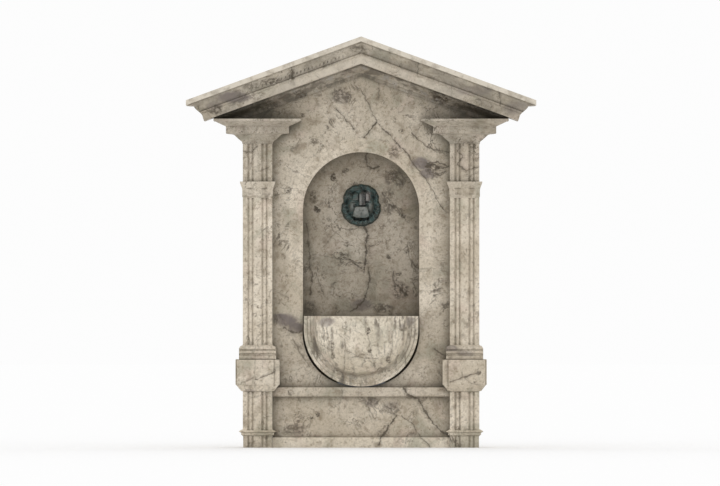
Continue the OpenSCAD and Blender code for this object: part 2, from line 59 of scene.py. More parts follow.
class Graph:
    """Short calls for building a node tree. Most return a socket that the next call can take."""

    def __init__(self, tree):
        self.tree = tree

    def node(self, kind, **settings):
        """A new node itself, with its settings."""
        made = self.tree.nodes.new(kind)
        for name, value in settings.items():
            setattr(made, name, value)
        return made

    def put(self, socket, value):
        """Links a value that is a socket, or else sets it as a constant."""
        if isinstance(value, bpy.types.NodeSocket):
            self.tree.links.new(value, socket)
        elif value is not None:
            socket.default_value = value

    def math(self, operation, a, b=None, clamp=False):
        made = self.node("ShaderNodeMath", operation=operation, use_clamp=clamp)
        self.put(made.inputs[0], a)
        self.put(made.inputs[1], b)
        return made.outputs[0]

    def times(self, a, b):
        return self.math("MULTIPLY", a, b)

    def most(self, *values):
        """The greatest of some values."""
        total = values[0]
        for value in values[1:]:
            total = self.math("MAXIMUM", total, value)
        return total

    def away(self, value, middle):
        """How far a value is from a middle one, either way."""
        return self.math("ABSOLUTE", self.math("SUBTRACT", value, middle))

    def vector(self, operation, a, b=None, scale=None):
        made = self.node("ShaderNodeVectorMath", operation=operation)
        self.put(made.inputs[0], a)
        self.put(made.inputs[1], b)
        if operation == "SCALE":
            self.put(made.inputs["Scale"], scale)
        return made.outputs["Value" if operation in ("LENGTH", "DOT_PRODUCT", "DISTANCE") else "Vector"]

    def split(self, point):
        """The x, y and z of a point."""
        made = self.node("ShaderNodeSeparateXYZ")
        self.put(made.inputs[0], point)
        return made.outputs

    def ramp(self, value, low, high, to_low=0.0, to_high=1.0):
        """A smooth step: to_low where the value is at low, to_high where it is at high."""
        made = self.node("ShaderNodeMapRange", interpolation_type="SMOOTHSTEP")
        for socket, number in zip(made.inputs, (value, low, high, to_low, to_high)):
            self.put(socket, number)
        return made.outputs[0]

    def noise(self, point, scale, detail=3.0, roughness=0.5, distortion=0.0, output=0):
        made = self.node("ShaderNodeTexNoise")
        self.put(made.inputs["Vector"], point)
        self.put(made.inputs["Scale"], scale)
        self.put(made.inputs["Detail"], detail)
        self.put(made.inputs["Roughness"], roughness)
        self.put(made.inputs["Distortion"], distortion)
        return made.outputs[output]

    def cells(self, point, scale):
        """Distance from the nearest of some scattered points."""
        made = self.node("ShaderNodeTexVoronoi")
        self.put(made.inputs["Vector"], point)
        self.put(made.inputs["Scale"], scale)
        return made.outputs["Distance"]

    def mix(self, amount, a, b, blend="MIX"):
        """Colour a with an amount of colour b mixed or multiplied into it."""
        made = self.node("ShaderNodeMix", data_type="RGBA", blend_type=blend)
        colours = [socket for socket in made.inputs if socket.type == "RGBA"]
        self.put(made.inputs["Factor"], amount)
        self.put(colours[0], a)
        self.put(colours[1], b)
        return next(socket for socket in made.outputs if socket.type == "RGBA")

    def lay(self, colour, amount, other):
        """A colour with an amount of another laid over it."""
        return self.mix(amount, colour, other)

    def hollows(self, reach):
        """How open the surface is: 1 in the clear, and less in hollows and corners."""
        made = self.node("ShaderNodeAmbientOcclusion", samples=6)
        self.put(made.inputs["Distance"], reach)
        return made.outputs["AO"]

    def bump(self, height, distance, strength):
        made = self.node("ShaderNodeBump")
        self.put(made.inputs["Distance"], distance)
        self.put(made.inputs["Strength"], strength)
        self.put(made.inputs["Height"], height)
        return made.outputs[0]


def new_material(name):
    """A material with a Principled shader: (material, graph, shader)."""
    material = bpy.data.materials.new(name)
    material.use_nodes = True
    graph = Graph(material.node_tree)
    return material, graph, material.node_tree.nodes["Principled BSDF"]


def object_point(graph):
    """A surface point in the object's own metres, which are the frame's at rest."""
    return graph.node("ShaderNodeTexCoord").outputs["Object"]


def stroke_group():
    """Node group: how strongly a point lies on a vein between two points of the front plane."""
    tree = bpy.data.node_groups.new("vein_stroke", "ShaderNodeTree")
    for name, kind in (("Point", "Vector"), ("Start", "Vector"), ("Along", "Vector"), ("Width", "Float")):
        tree.interface.new_socket(name, in_out="INPUT", socket_type=f"NodeSocket{kind}")
    tree.interface.new_socket("Mask", in_out="OUTPUT", socket_type="NodeSocketFloat")
    graph = Graph(tree)
    given = graph.node("NodeGroupInput").outputs
    offset = graph.vector("SUBTRACT", given["Point"], given["Start"])
    length_squared = graph.vector("DOT_PRODUCT", given["Along"], given["Along"])
    run = graph.vector("DOT_PRODUCT", offset, given["Along"])
    part = graph.math("DIVIDE", run, length_squared, clamp=True)
    nearest = graph.vector("SCALE", given["Along"], scale=part)
    away = graph.math("DIVIDE", graph.vector("DISTANCE", offset, nearest), given["Width"])
    core = graph.ramp(away, 1.0, 0.3)
    halo = graph.ramp(away, 3.6, 0.8, 0, 0.32)
    graph.put(graph.node("NodeGroupOutput").inputs["Mask"], graph.most(core, halo))
    return tree


STROKE = stroke_group()


def strokes_mask(graph, point, strokes):
    """The strongest of a list of veins, each (width, strength, [(x, z), ...]) in metres."""
    flat = graph.vector("MULTIPLY", point, (1, 0, 1))
    swelling = graph.ramp(graph.noise(point, 34, 4, 0.65), 0.36, 0.66, 0.3, 1.7)
    masks = []
    for width, strength, route in strokes:
        for (x0, z0), (x1, z1) in zip(route, route[1:]):
            stroke = graph.node("ShaderNodeGroup", node_tree=STROKE)
            graph.put(stroke.inputs["Point"], flat)
            graph.put(stroke.inputs["Start"], (x0, 0, z0))
            graph.put(stroke.inputs["Along"], (x1 - x0, 0, z1 - z0))
            graph.put(stroke.inputs["Width"], graph.times(swelling, width))
            masks.append(graph.times(stroke.outputs[0], strength))
    return graph.most(*masks)


def patches_mask(graph, point, patches):
    """The strongest of a list of soft patches, each (x, z, half width, half height, strength)."""
    masks = []
    for x, z, half_width, half_height, strength in patches:
        offset = graph.vector("SUBTRACT", point, (x, 0, z))
        scaled = graph.vector("MULTIPLY", offset, (1 / half_width, 0, 1 / half_height))
        masks.append(graph.ramp(graph.vector("LENGTH", scaled), 1.15, 0.6, 0, strength))
    return graph.most(*masks)


# --- Marble -------------------------------------------------------------------------------------

LIGHT = srgb(230, 219, 201)
MID = srgb(201, 189, 169)
GREENISH = srgb(172, 167, 148)
PINKISH = srgb(212, 195, 179)
BROWN = srgb(136, 121, 100)
DARK = srgb(80, 72, 62)
MAUVE = srgb(124, 115, 113)
# Laid on the gable fascia as grime, and in hollows and corners as grime and painted shade
GRIME_AND_SHADE = srgb(96, 90, 77)
# Smoke grime, and on the gable shoulders painted shade under the rake
SOOT_AND_SHADE = srgb(112, 108, 100)
STREAK = srgb(108, 100, 90)
RINSED = srgb(222, 213, 197)
DULL_OLIVE = srgb(142, 138, 125)
# Grime and painted shade in the bowl's moulded rings and belly crease
CREASE_GRIME_AND_SHADE = srgb(112, 102, 90)
DARK_BLOTCH = srgb(86, 81, 74)
PALE_BLOTCH = srgb(176, 172, 166)


def marble_clouds(graph, point, bent):
    """Broad clouds of tone and smaller soft blotches."""
    colour = graph.mix(graph.ramp(graph.noise(point, 3.1, 5, 0.6), 0.36, 0.66), MID, LIGHT)
    greenish = graph.ramp(graph.noise(point, 5.3, 4, 0.55, 0.6), 0.5, 0.7, 0, 0.8)
    colour = graph.lay(colour, greenish, GREENISH)
    pinkish = graph.ramp(graph.noise(point, 7.7, 3), 0.55, 0.75, 0, 0.7)
    colour = graph.lay(colour, pinkish, PINKISH)
    blotches = graph.ramp(graph.noise(bent, 16, 5, 0.62), 0.5, 0.72, 0, 0.55)
    colour = graph.lay(colour, blotches, BROWN)
    flecks = graph.ramp(graph.noise(bent, 62, 4, 0.6), 0.48, 0.72, 0, 0.65)
    return graph.lay(colour, flecks, BROWN)


def vein_family(graph, bent, scale, width, region, strength, offset):
    """Natural veins of one size, kept to the region where a second noise passes from low to high."""
    moved = graph.vector("ADD", bent, (offset, offset * 1.7, offset * 0.6))
    ridge = graph.away(graph.noise(moved, scale, 5, 0.6, 1.1), 0.5)
    where = graph.ramp(graph.noise(moved, scale * 0.9 + 1.2, 3, 0.6), *region, 0, strength)
    return graph.times(graph.ramp(ridge, width, 0), where)


def marble_veins(graph, bent, veins):
    """Long natural veins and finer broken webs of them."""
    return graph.most(vein_family(graph, bent, 2.3, 0.011, (0.46, 0.62), 0.85 * veins, 0),
                      vein_family(graph, bent, 6.5, 0.022, (0.52, 0.64), 0.75 * veins, 3.1),
                      vein_family(graph, bent, 15, 0.045, (0.54, 0.66), 0.6 * veins, 5.7))


def bend(graph, point):
    """The point shifted a little by coarse and fine noise, so that what is drawn there gets ragged edges."""
    coarse = graph.vector("SUBTRACT", graph.noise(point, 5, 3, output=1), (0.5,) * 3)
    fine = graph.vector("SUBTRACT", graph.noise(point, 38, 5, 0.6, output=1), (0.5,) * 3)
    moved = graph.vector("ADD", point, graph.vector("SCALE", coarse, scale=0.05))
    return graph.vector("ADD", moved, graph.vector("SCALE", fine, scale=0.026))


# The gable's slope, how far below its top edge each moulding ends, and the pitch of its beads, in metres
ROOF_SLOPE = math.tan(math.radians(20))
FILLET_DEPTH = 0.031
CYMA_DEPTH = 0.094
FASCIA_DEPTH = 0.152
BEAD_PITCH = 0.021


def crest_wash(graph, point, colour):
    """The gable's pale fillet, duller cyma with worn ornament on its left, and fascia pale near the apex."""
    x, y, z = graph.split(point)
    apex_low, apex_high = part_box("apex_stone")
    off_centre = graph.away(x, 0)
    edge = graph.math("ADD", z, graph.times(off_centre, ROOF_SLOPE))
    below = graph.math("SUBTRACT", apex_high[2], edge)

    front = graph.ramp(y, apex_low[1] + 0.008, apex_low[1] + 0.004)
    fillet = graph.times(front, graph.ramp(below, FILLET_DEPTH, FILLET_DEPTH - 0.005))
    fillet = graph.times(fillet, graph.ramp(graph.noise(point, 24, 3), 0.32, 0.6, 0.3, 0.9))
    colour = graph.lay(colour, fillet, RINSED)

    cyma = graph.times(graph.ramp(below, FILLET_DEPTH - 0.001, FILLET_DEPTH + 0.011),
                       graph.ramp(below, CYMA_DEPTH, CYMA_DEPTH - 0.014))
    colour = graph.lay(colour, graph.times(cyma, 0.12), DULL_OLIVE)

    fascia = graph.times(graph.ramp(below, CYMA_DEPTH, CYMA_DEPTH + 0.01),
                         graph.ramp(below, FASCIA_DEPTH, FASCIA_DEPTH - 0.01))
    fascia = graph.times(fascia, graph.ramp(graph.noise(point, 9, 3), 0.35, 0.6, 0.15, 0.6))
    outward = graph.ramp(off_centre, 0.25, 0.7)
    inward = graph.math("SUBTRACT", 1, outward)
    colour = graph.lay(colour, graph.times(fascia, inward), LIGHT)
    colour = graph.lay(colour, graph.times(fascia, graph.times(outward, 0.45)), GRIME_AND_SHADE)
    return graph.lay(colour, graph.times(worn_beads(graph, point, x, below), 0.75), DARK)


def worn_beads(graph, point, x, below):
    """A dotted line along the cyma of the left rake, with stretches of it worn away."""
    beads = graph.ramp(graph.math("SINE", graph.times(x, 2 * math.pi / BEAD_PITCH)), 0.1, 0.7)
    band = graph.times(graph.ramp(below, 0.062, 0.068), graph.ramp(below, 0.082, 0.075))
    stretch = graph.times(graph.ramp(x, -0.60, -0.52), graph.ramp(x, -0.06, -0.14))
    kept = graph.ramp(graph.noise(point, 21, 3), 0.34, 0.56)
    return graph.times(graph.times(beads, band), graph.times(stretch, kept))


# Heights where the border's dull foot begins and where it is at its dullest, in metres
JAMB_DULL_TOP = 0.82
JAMB_DULL_FULL = 0.66


def jamb_foot(graph, point, colour):
    """The lower ends of the niche's border, grown as dull as the wall beside them."""
    foot = graph.ramp(graph.split(point)["Z"], JAMB_DULL_TOP, JAMB_DULL_FULL)
    return graph.mix(foot, colour, (0.84, 0.84, 0.84, 1), "MULTIPLY")


# The rings on the bowl's front run round this height, and straight up above it. Each ring is its radius and
# half width, in metres.
BOWL_CENTRE_Z = 0.65
BOWL_QUIRKS = ((0.296, 0.005), (0.277, 0.006))
BOWL_CREASE = (0.25, 0.014)


def bowl_grime_and_shade(graph, point, colour):
    """Grime and painted shade in the moulded rings at the sides of the bowl, and a stained crease under its
    belly, also darkened as painted shade.
    """
    x, _, z = graph.split(point)
    drop = graph.math("MINIMUM", graph.math("SUBTRACT", z, BOWL_CENTRE_Z), 0)
    flat = graph.node("ShaderNodeCombineXYZ")
    graph.put(flat.inputs["X"], x)
    graph.put(flat.inputs["Z"], drop)
    reach = graph.vector("LENGTH", flat.outputs[0])
    quirks = graph.most(*(graph.ramp(graph.away(reach, radius), half_width, 0)
                          for radius, half_width in BOWL_QUIRKS))
    quirks = graph.times(quirks, graph.ramp(z, 0.40, 0.52, 0, 0.75))
    radius, half_width = BOWL_CREASE
    crease = graph.ramp(graph.away(reach, radius), half_width, 0)
    crease = graph.times(crease, graph.ramp(z, 0.50, 0.41, 0, 0.8))
    patchy = graph.ramp(graph.noise(point, 26, 4, 0.65), 0.3, 0.6, 0.35, 1)
    return graph.lay(colour, graph.times(graph.most(quirks, crease), patchy), CREASE_GRIME_AND_SHADE)


def air_grime_and_shade(graph, bent, colour, soot_and_shade, mottle):
    """A film of smoke grime, which on the gable shoulders is painted shade, then dark and pale blotches."""
    if soot_and_shade:
        film_and_shade = graph.ramp(graph.noise(bent, 9, 5, 0.65), 0.36, 0.66, 0.25 * soot_and_shade, soot_and_shade)
        colour = graph.lay(colour, film_and_shade, SOOT_AND_SHADE)
    if mottle:
        blotches = graph.noise(bent, 17, 3, 0.5)
        colour = graph.lay(colour, graph.ramp(blotches, 0.52, 0.4, 0, mottle), DARK_BLOTCH)
        colour = graph.lay(colour, graph.ramp(blotches, 0.55, 0.66, 0, mottle), PALE_BLOTCH)
    return colour


def stone_figure(graph, bent, colour, strokes, patches, smudges, veins):
    """The stone's own patches, smudges and veins, drawn ones and natural ones."""
    if patches:
        broken = graph.ramp(graph.noise(bent, 13, 3), 0.25, 0.55, 0.55, 1)
        colour = graph.lay(colour, graph.times(patches_mask(graph, bent, patches), broken), MAUVE)
    if smudges:
        broken = graph.ramp(graph.noise(bent, 50, 5, 0.75), 0.41, 0.56)
        colour = graph.lay(colour, graph.times(patches_mask(graph, bent, smudges), broken), DARK)
    colour = graph.lay(colour, marble_veins(graph, bent, veins), DARK)
    if strokes:
        colour = graph.lay(colour, strokes_mask(graph, bent, strokes), DARK)
    return colour


def rain_wear(graph, point, bent, colour, streaks, spots):
    """Dirty streaks, pits and a fine brown grain."""
    if streaks:
        tall = graph.vector("MULTIPLY", bent, (1, 0.4, 0.2))
        where = graph.ramp(graph.noise(point, 9, 3), 0.36, 0.6, 0, streaks)
        streak = graph.times(graph.ramp(graph.noise(tall, 34, 4, 0.6), 0.5, 0.66), where)
        colour = graph.lay(colour, streak, STREAK)
    pitted = graph.ramp(graph.noise(point, 6.2, 3, 0.6), 0.5, 0.64, 0, spots)
    pits = graph.times(graph.ramp(graph.cells(bent, 46), 0.22, 0.06), pitted)
    colour = graph.lay(colour, graph.times(pits, 0.8), DARK)
    grain = graph.ramp(graph.noise(point, 230, 3, 0.7), 0.4, 0.72, 0, 0.42)
    return graph.lay(colour, grain, BROWN)


def marble(name, shade=1.0, cool=0.0, strokes=(), patches=(), smudges=(), veins=1.0, soot_and_shade=0.0, mottle=0.0,
           streaks=0.0, spots=1.0, hollow_grime_and_shade=0.85, own_marks=None):
    """Weathered veined marble, painted shade and grime in hollows. A function adds what only one kind of
    stone has.
    """
    material, graph, shader = new_material(name)
    point = object_point(graph)
    bent = bend(graph, point)
    colour = marble_clouds(graph, point, bent)
    colour = air_grime_and_shade(graph, bent, colour, soot_and_shade, mottle)
    colour = stone_figure(graph, bent, colour, strokes, patches, smudges, veins)
    colour = rain_wear(graph, point, bent, colour, streaks, spots)
    if own_marks:
        colour = own_marks(graph, point, colour)
    tint = (shade * (1 - cool), shade, shade * (1 + cool), 1)
    colour = graph.mix(1, colour, tint, "MULTIPLY")

    # Grime and painted shade in hollows and corners, found by the occlusion node
    grime_and_shade_in_hollows = graph.ramp(graph.hollows(0.11), 0.88, 0.3, 0, hollow_grime_and_shade)
    patchy = graph.ramp(graph.noise(point, 11, 4), 0.25, 0.6, 0.65, 1)
    colour = graph.lay(colour, graph.times(grime_and_shade_in_hollows, patchy), GRIME_AND_SHADE)
    graph.put(shader.inputs["Base Color"], colour)
    graph.put(shader.inputs["Roughness"], graph.ramp(graph.noise(point, 21, 3), 0.3, 0.7, 0.46, 0.66))
    graph.put(shader.inputs["Specular IOR Level"], 0.35)
    graph.put(shader.inputs["Normal"], graph.bump(graph.noise(point, 60, 6, 0.7), 0.0012, 0.6))
    return material


# Drawn marks of each stone, in metres on the front plane. A stroke is its width, strength and route, and a
# patch or smudge is its x, z, half width, half height and strength. A vein that crosses a joint is used on
# both stones.
WALL_STROKES = (
    (0.006, 0.95, [(0.09, 1.785), (0.05, 1.74), (0.01, 1.685), (-0.01, 1.665)]),
    (0.004, 0.85, [(-0.14, 1.86), (-0.095, 1.815), (-0.04, 1.755)]),
    (0.004, 0.7, [(0.0, 1.985), (0.04, 1.905), (0.075, 1.82), (0.09, 1.79)]),
    (0.004, 0.85, [(0.10, 1.78), (0.165, 1.72), (0.21, 1.665), (0.27, 1.585), (0.36, 1.46),
                   (0.47, 1.29)]),
    (0.004, 0.85, [(0.28, 1.73), (0.315, 1.69), (0.365, 1.655), (0.485, 1.618)]),
    (0.004, 0.6, [(0.10, 2.03), (0.097, 1.92)]),
    (0.006, 0.85, [(0.366, 1.56), (0.415, 1.573), (0.485, 1.545)]),
    (0.006, 0.7, [(0.41, 1.515), (0.46, 1.523)]),
    (0.004, 0.5, [(-0.46, 0.86), (-0.335, 0.79)]),
    (0.004, 0.6, [(-0.375, 0.60), (-0.33, 0.52), (-0.277, 0.443)]),
    (0.005, 0.8, [(0.41, 0.535), (0.455, 0.515), (0.50, 0.497)]),
    (0.008, 0.9, [(0.36, 1.545), (0.40, 1.56), (0.43, 1.535), (0.485, 1.55)]),
    (0.006, 0.8, [(0.385, 1.52), (0.42, 1.505), (0.46, 1.52)]),
    (0.008, 0.85, [(-0.43, 0.665), (-0.38, 0.64), (-0.345, 0.632), (-0.325, 0.66)]),
)
WALL_PATCHES = (
    (0.33, 1.56, 0.065, 0.035, 0.9),
    (0.36, 1.51, 0.045, 0.035, 0.85),
    (-0.42, 0.705, 0.085, 0.04, 0.95),
    (-0.36, 0.665, 0.05, 0.035, 0.95),
    (-0.11, 1.93, 0.05, 0.045, 0.35),
)
WALL_SMUDGES = (
    (-0.405, 1.42, 0.022, 0.02, 1.0),
    (0.18, 1.62, 0.03, 0.05, 0.7),
    (-0.11, 1.94, 0.06, 0.05, 0.8),
    (-0.318, 1.826, 0.012, 0.014, 1.0),
    (-0.26, 1.68, 0.03, 0.02, 0.7),
    (0.215, 1.746, 0.015, 0.012, 0.9),
    (0.40, 1.53, 0.05, 0.035, 0.9),
    (0.47, 0.79, 0.04, 0.022, 0.8),
)
NICHE_STROKES = (
    (0.007, 0.85, [(0.03, 1.62), (0.026, 1.587), (0.036, 1.55), (0.072, 1.534), (0.107, 1.548)]),
    (0.008, 0.9, [(0.016, 1.21), (0.033, 1.17), (0.03, 1.05), (0.019, 0.97)]),
    (0.008, 0.85, [(0.044, 0.985), (0.054, 0.92), (0.033, 0.857), (0.016, 0.81), (-0.054, 0.75)]),
    (0.006, 0.8, [(-0.297, 1.23), (-0.286, 1.17), (-0.29, 0.99), (-0.276, 0.96), (-0.276, 0.90),
                  (-0.286, 0.84)]),
    (0.003, 0.7, [(-0.258, 0.962), (-0.209, 0.843)]),
    (0.006, 0.8, [(-0.062, 1.04), (0.002, 0.99)]),
    (0.003, 0.5, [(-0.265, 1.067), (-0.111, 1.04)]),
    (0.003, 0.4, [(-0.209, 1.10), (-0.125, 1.20)]),
    (0.005, 0.8, [(0.272, 1.032), (0.31, 0.99)]),
    (0.006, 0.7, [(0.114, 1.397), (0.128, 1.369), (0.145, 1.341), (0.184, 1.32)]),
    (0.006, 0.6, [(0.156, 1.509), (0.198, 1.509), (0.233, 1.446)]),
    (0.007, 0.7, [(0.177, 0.969), (0.184, 0.92), (0.226, 0.864), (0.254, 0.843)]),
)
NICHE_PATCHES = ((0.0, 0.785, 0.065, 0.035, 0.7),)
NICHE_SMUDGES = (
    (-0.163, 1.485, 0.02, 0.024, 1.0),
    (-0.09, 1.523, 0.024, 0.018, 0.9),
    (-0.265, 1.383, 0.022, 0.04, 0.9),
    (-0.24, 1.313, 0.02, 0.026, 1.0),
    (0.233, 1.278, 0.018, 0.018, 0.9),
    (0.247, 1.081, 0.016, 0.016, 0.9),
    (0.149, 1.057, 0.016, 0.016, 0.9),
    (0.22, 0.87, 0.05, 0.05, 0.9),
    (0.15, 1.36, 0.05, 0.07, 0.7),
    (0.19, 1.48, 0.07, 0.06, 0.7),
    (-0.29, 0.77, 0.04, 0.04, 0.8),
    (0.12, 0.77, 0.07, 0.03, 0.8),
)
DADO_STROKES = (
    (0.008, 0.95, [(0.192, 0.18), (0.15, 0.125), (0.107, 0.056), (0.097, 0.015)]),
    (0.007, 0.9, [(0.222, 0.331), (0.261, 0.279), (0.307, 0.262), (0.353, 0.20), (0.40, 0.141),
                  (0.484, 0.062)]),
    (0.003, 0.85, [(0.215, 0.18), (0.274, 0.141), (0.34, 0.056), (0.38, 0.003)]),
    (0.005, 0.6, [(0.038, 0.22), (0.078, 0.161)]),
    (0.005, 0.6, [(0.124, 0.239), (0.182, 0.193)]),
    (0.005, 0.6, [(-0.103, 0.325), (-0.103, 0.275)]),
    (0.003, 0.4, [(-0.119, 0.272), (-0.119, 0.20)]),
)
DADO_PATCHES = ((0.058, 0.246, 0.045, 0.028, 0.55), (0.165, 0.235, 0.05, 0.03, 0.3))
DADO_SMUDGES = (
    (-0.244, 0.184, 0.012, 0.018, 1.0),
    (-0.276, 0.164, 0.012, 0.01, 0.9),
    (0.06, 0.25, 0.06, 0.03, 0.7),
    (0.17, 0.215, 0.05, 0.04, 0.7),
    (-0.37, 0.10, 0.07, 0.04, 0.6),
    (-0.394, 0.305, 0.015, 0.02, 0.9),
)
BOWL_STROKES = (
    (0.003, 0.6, [(-0.166, 0.653), (-0.161, 0.543), (-0.15, 0.498)]),
    (0.003, 0.6, [(-0.094, 0.653), (-0.09, 0.42)]),
    (0.003, 0.55, [(0.042, 0.643), (0.047, 0.533), (0.082, 0.433)]),
    (0.003, 0.6, [(0.097, 0.593), (0.097, 0.518)]),
    (0.003, 0.55, [(0.171, 0.618), (0.171, 0.548), (0.156, 0.498)]),
    (0.003, 0.7, [(-0.085, 0.54), (-0.03, 0.518), (0.02, 0.50), (0.09, 0.497)]),
    (0.003, 0.6, [(-0.07, 0.50), (0.0, 0.525), (0.06, 0.515)]),
    (0.003, 0.6, [(0.03, 0.49), (0.075, 0.465)]),
    (0.003, 0.6, [(0.132, 0.585), (0.132, 0.52)]),
)
BOWL_SMUDGES = (
    (0.045, 0.64, 0.014, 0.024, 1.0),
    (0.045, 0.534, 0.016, 0.014, 0.9),
    (-0.159, 0.557, 0.012, 0.03, 0.8),
    (-0.155, 0.502, 0.014, 0.024, 0.8),
    (0.155, 0.486, 0.014, 0.024, 0.9),
    (0.234, 0.651, 0.02, 0.01, 0.8),
    (-0.088, 0.66, 0.02, 0.014, 0.7),
    (0.125, 0.425, 0.055, 0.016, 0.7),
    (-0.112, 0.408, 0.04, 0.014, 0.6),
)
BOWL_PATCHES = (
    (-0.19, 0.69, 0.045, 0.03, 0.7),
    (0.27, 0.69, 0.03, 0.03, 0.6),
    (0.224, 0.668, 0.02, 0.01, 0.5),
)
CORNICE_PATCHES = (
    (-0.70, 1.925, 0.10, 0.035, 0.9),
    (-0.81, 1.885, 0.05, 0.03, 0.5),
    (0.62, 1.96, 0.12, 0.03, 0.5),
    (0.86, 1.86, 0.08, 0.04, 0.45),
)
CORNICE_SMUDGES = (
    (-0.49, 2.01, 0.06, 0.025, 0.9),
    (-0.60, 1.985, 0.06, 0.02, 0.7),
    (-0.385, 2.03, 0.025, 0.05, 1.0),
    (-0.80, 1.86, 0.04, 0.03, 0.9),
    (-0.02, 2.19, 0.05, 0.02, 0.8),
)
BED_MOULD_SMUDGES = (
    (0.44, 1.93, 0.06, 0.045, 1.0),
    (0.62, 1.87, 0.09, 0.03, 0.8),
    (-0.34, 1.935, 0.045, 0.03, 0.8),
    (-0.52, 1.885, 0.09, 0.03, 0.7),
)
CORNICE_STROKES = (
    (0.008, 1.0, [(-0.392, 2.085), (-0.378, 2.05), (-0.368, 1.985)]),
    (0.003, 0.8, [(0.313, 2.14), (0.313, 2.045)]),
    (0.003, 0.7, [(0.492, 1.985), (0.492, 1.92)]),
    (0.0035, 0.85, [(0.759, 1.975), (0.759, 1.87)]),
    (0.003, 0.5, [(-0.87, 1.87), (-0.80, 1.835), (-0.76, 1.89)]),
)
PEDESTAL_STROKES = (
    (0.002, 0.5, [(-0.58, 0.484), (-0.58, 0.32)]),
    (0.0035, 0.85, [(-0.578, 0.383), (-0.53, 0.394), (-0.476, 0.418)]),
    (0.003, 0.6, [(-0.661, 0.353), (-0.591, 0.394)]),
    (0.0035, 0.85, [(0.487, 0.368), (0.552, 0.388), (0.642, 0.418)]),
    (0.003, 0.7, [(0.55, 0.418), (0.55, 0.378)]),
    (0.003, 0.6, [(0.56, 0.385), (0.60, 0.36), (0.66, 0.352)]),
)
PEDESTAL_SMUDGES = (
    (0.645, 0.423, 0.015, 0.02, 0.9),
    (-0.476, 0.422, 0.01, 0.014, 0.8),
    (0.625, 0.372, 0.012, 0.014, 0.8),
)
PEDESTAL_PATCHES = (
    (0.50, 0.545, 0.045, 0.022, 0.8),
    (0.575, 0.525, 0.05, 0.018, 0.5),
    (-0.61, 0.315, 0.03, 0.012, 0.4),
)
UPPER_PIER_STROKES = (
    (0.004, 0.85, [(0.558, 1.66), (0.536, 1.625), (0.562, 1.59), (0.532, 1.555), (0.575, 1.516),
                   (0.649, 1.543)]),
    (0.004, 0.8, [(-0.65, 1.63), (-0.59, 1.63), (-0.564, 1.66)]),
    (0.003, 0.7, [(-0.577, 1.518), (-0.498, 1.544)]),
)

# Each marble's settings and the stones that it is on
STONE_LOOKS = {
    "wall_marble": (dict(shade=0.93, strokes=WALL_STROKES, patches=WALL_PATCHES, smudges=WALL_SMUDGES),
                    ("wall_slab",)),
    "border_marble": (dict(shade=1.02, strokes=WALL_STROKES[3:5] + WALL_STROKES[-1:],
                           patches=WALL_PATCHES[:4], smudges=WALL_SMUDGES[1:2], veins=0.6, spots=0.6,
                           own_marks=jamb_foot),
                      ("niche_arch", "left_niche_jamb", "right_niche_jamb")),
    # The niche back is painted darker, as shade in the deep recess
    "niche_marble": (dict(shade=0.73, strokes=NICHE_STROKES, patches=NICHE_PATCHES,
                          smudges=NICHE_SMUDGES),
                     ("niche_back",)),
    "dado_marble": (dict(shade=1.0, strokes=DADO_STROKES, patches=DADO_PATCHES, smudges=DADO_SMUDGES),
                    ("dado_panel",)),
    "ledge_marble": (dict(shade=0.93, strokes=DADO_STROKES[1:2] + DADO_STROKES[5:6],
                          smudges=DADO_SMUDGES[-1:], veins=0.7),
                     ("ledge",)),
    # The base course is painted lighter, against the shade that the floor casts on it
    "base_marble": (dict(shade=1.28, cool=0.02, strokes=DADO_STROKES[:3], veins=0.5, hollow_grime_and_shade=0.25),
                    ("base_course",)),
    "bowl_marble": (dict(shade=1.22, cool=0.02, strokes=BOWL_STROKES, patches=BOWL_PATCHES,
                         smudges=BOWL_SMUDGES, streaks=0.95, veins=0.8, own_marks=bowl_grime_and_shade),
                    ("bowl",)),
    "cornice_marble": (dict(shade=0.97, soot_and_shade=0.55, strokes=CORNICE_STROKES, patches=CORNICE_PATCHES,
                            smudges=CORNICE_SMUDGES, own_marks=crest_wash),
                       ("left_raking_cornice", "apex_stone", "right_raking_cornice", "right_eave_stone")),
    "bed_mould_marble": (dict(shade=0.9, soot_and_shade=0.4, mottle=0.6, smudges=BED_MOULD_SMUDGES),
                         ("left_bed_mould", "right_bed_mould")),
    # The gable shoulders under the rake: their darker tone and heavy smoke film are painted shade
    "gable_marble": (dict(shade=0.85, soot_and_shade=0.75), ("left_gable_shoulder", "right_gable_shoulder")),
    "sawn_marble": (dict(shade=0.95, streaks=0.3, spots=0.5),
                    ("lower_rear_slab", "middle_rear_slab", "upper_rear_slab", "bowl_bearers")),
}

# The same for the stones that both piers have, without left or right in their names
PIER_LOOKS = {
    # The pier feet are painted lighter, against the shade that the floor casts on them
    "foot_marble": (dict(shade=1.2, hollow_grime_and_shade=0.7), ("pier_foot",)),
    "pier_marble": (dict(shade=1.07, veins=0.8), ("lower_shaft", "main_shaft")),
    "pedestal_marble": (dict(shade=1.02, strokes=PEDESTAL_STROKES, smudges=PEDESTAL_SMUDGES,
                             patches=PEDESTAL_PATCHES, veins=0.6),
                        ("pedestal_block", "pier_base")),
    "upper_pier_marble": (dict(shade=0.98, soot_and_shade=0.15, strokes=UPPER_PIER_STROKES),
                          ("necking_band", "upper_shaft")),
    "capital_marble": (dict(shade=0.84, soot_and_shade=0.35), ("capital", "impost_cornice")),
}

STONE_ARRIS = 0.0025


def dress(node, material, arris, segments):
    """Gives a carried-over CAD node its material, and rounds its worn edges."""
    slots = NODES[node].data.materials
    slots.clear()
    slots.append(material)
    bevel = NODES[node].modifiers.new("worn_arrises", "BEVEL")
    bevel.width = arris
    bevel.segments = segments
    bevel.limit_method = "ANGLE"
    bevel.angle_limit = math.radians(28)
    bevel.use_clamp_overlap = True


